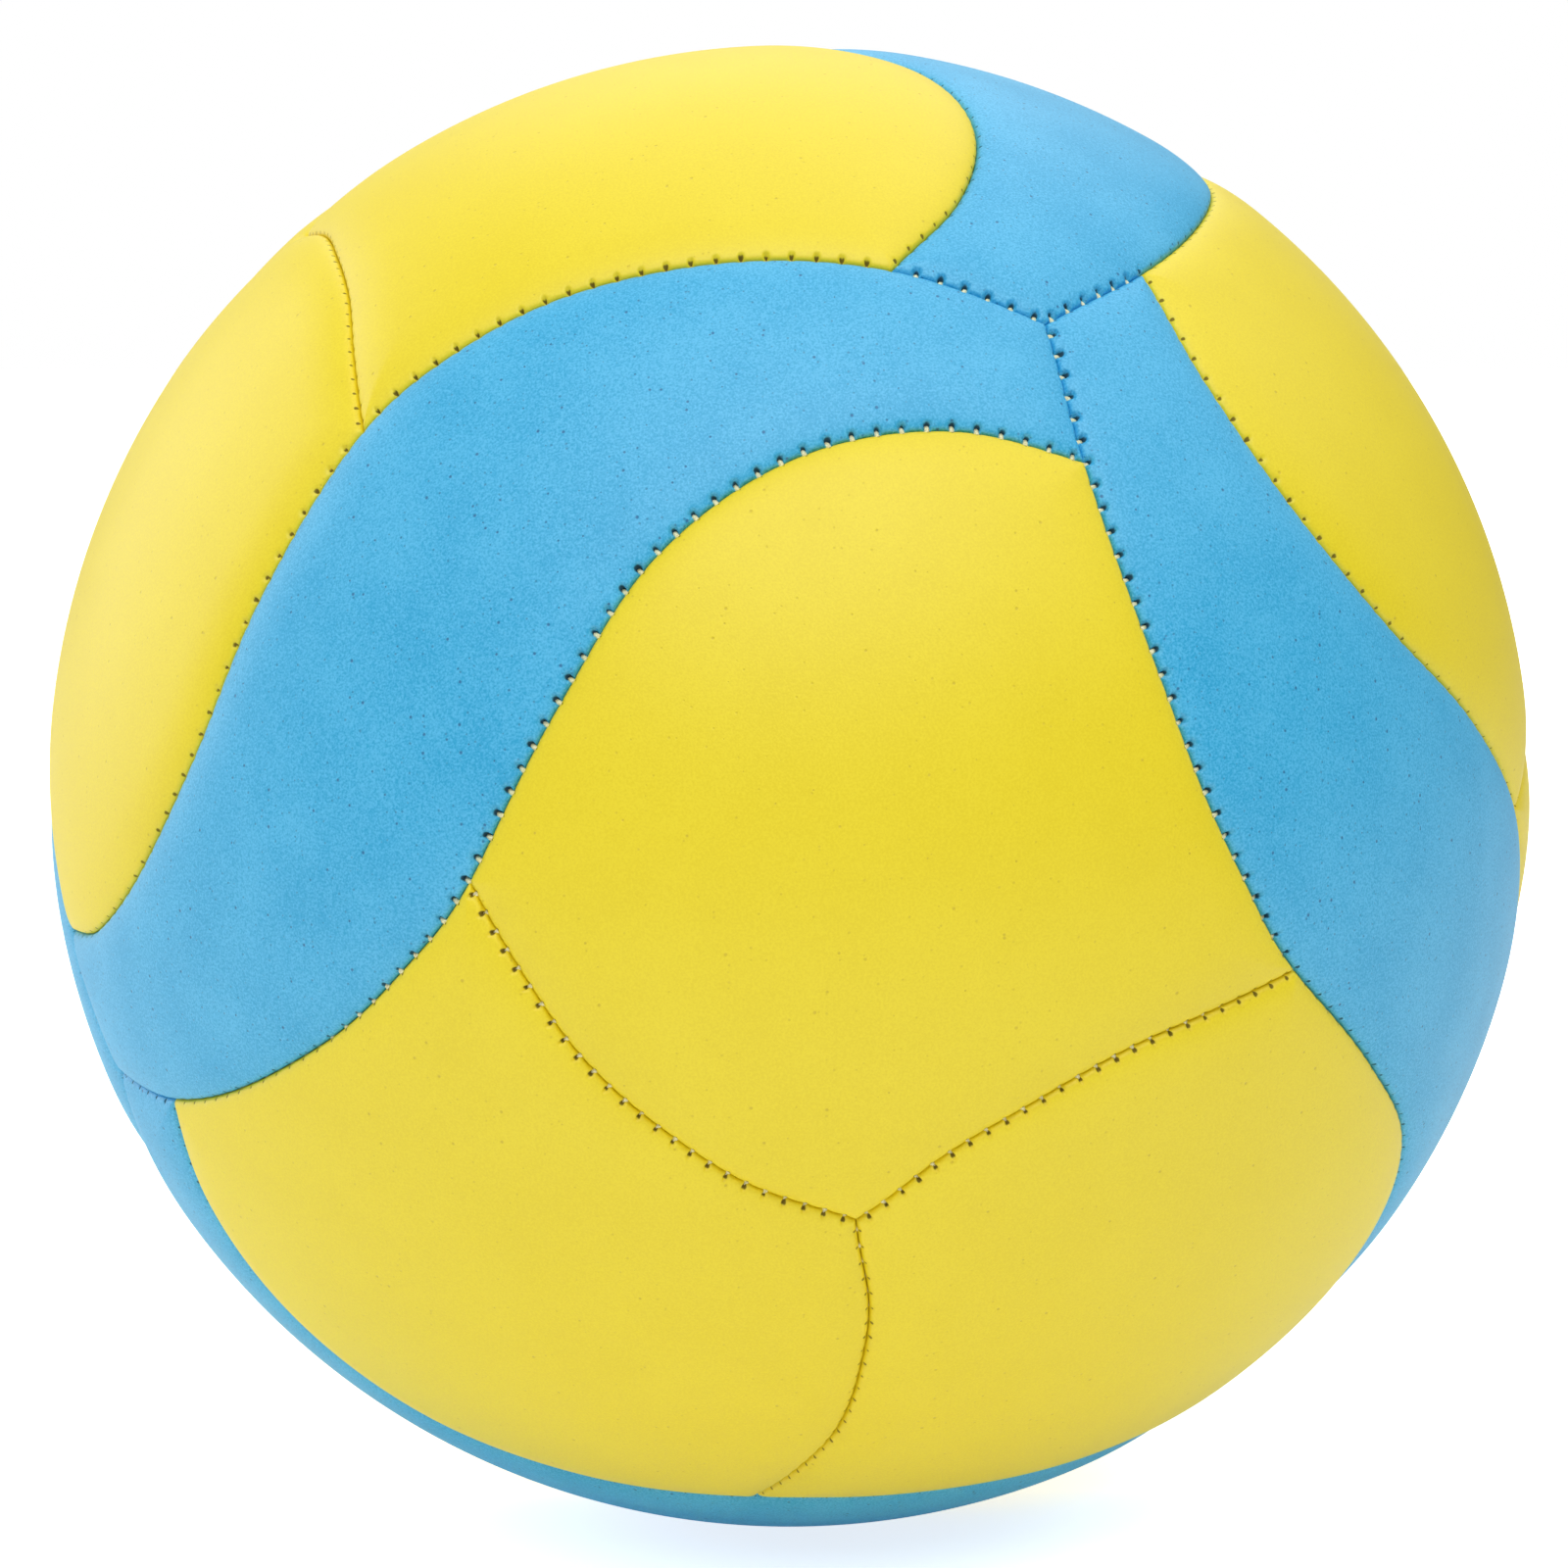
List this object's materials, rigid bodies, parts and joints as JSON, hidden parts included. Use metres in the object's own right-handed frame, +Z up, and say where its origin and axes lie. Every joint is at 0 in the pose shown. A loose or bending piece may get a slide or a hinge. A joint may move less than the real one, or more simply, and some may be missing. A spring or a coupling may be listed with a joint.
{
  "type": "volleyball",
  "caption": "Sewn soft foam volleyball: crowned two-colour panels in a swirl over cloth linings, with a rubber bladder and a needle valve.",
  "frame": {"origin": "centre of the ball", "axes": "+Z up as the ball lies in the picture, -Y towards the viewer, +X to the right"},
  "size_m": [0.1999, 0.1998, 0.1999],
  "materials": {
    "yellow_foam": "satin closed-cell foam with fine pores",
    "blue_foam": "satin closed-cell foam with fine pores",
    "lining_cloth": "plain woven cotton",
    "sewing_thread": "waxed polyester thread",
    "bladder_rubber": "dull butyl rubber",
    "valve_rubber": "moulded rubber",
    "plug_rubber": "soft moulded rubber"
  },
  "bodies": {
    "root": {"yellow_panel_01": "yellow_foam", "yellow_panel_02": "yellow_foam", "yellow_panel_03": "yellow_foam", "yellow_panel_04": "yellow_foam", "yellow_panel_05": "yellow_foam", "yellow_panel_06": "yellow_foam", "yellow_panel_07": "yellow_foam", "yellow_panel_08": "yellow_foam", "yellow_panel_09": "yellow_foam", "yellow_panel_10": "yellow_foam", "yellow_panel_11": "yellow_foam", "yellow_panel_12": "yellow_foam", "blue_panel_1": "blue_foam", "blue_panel_2": "blue_foam", "blue_panel_3": "blue_foam", "blue_panel_4": "blue_foam", "blue_panel_5": "blue_foam", "blue_panel_6": "blue_foam", "yellow_lining_01": "lining_cloth", "yellow_lining_02": "lining_cloth", "yellow_lining_03": "lining_cloth", "yellow_lining_04": "lining_cloth", "yellow_lining_05": "lining_cloth", "yellow_lining_06": "lining_cloth", "yellow_lining_07": "lining_cloth", "yellow_lining_08": "lining_cloth", "yellow_lining_09": "lining_cloth", "yellow_lining_10": "lining_cloth", "yellow_lining_11": "lining_cloth", "yellow_lining_12": "lining_cloth", "blue_lining_1": "lining_cloth", "blue_lining_2": "lining_cloth", "blue_lining_3": "lining_cloth", "blue_lining_4": "lining_cloth", "blue_lining_5": "lining_cloth", "blue_lining_6": "lining_cloth", "stitching_01": "sewing_thread", "stitching_02": "sewing_thread", "stitching_03": "sewing_thread", "stitching_04": "sewing_thread", "stitching_05": "sewing_thread", "stitching_06": "sewing_thread", "stitching_07": "sewing_thread", "stitching_08": "sewing_thread", "stitching_09": "sewing_thread", "stitching_10": "sewing_thread", "stitching_11": "sewing_thread", "stitching_12": "sewing_thread", "bladder": "bladder_rubber", "valve_boss": "valve_rubber", "valve_plug": "plug_rubber"}
  },
  "joints": []
}
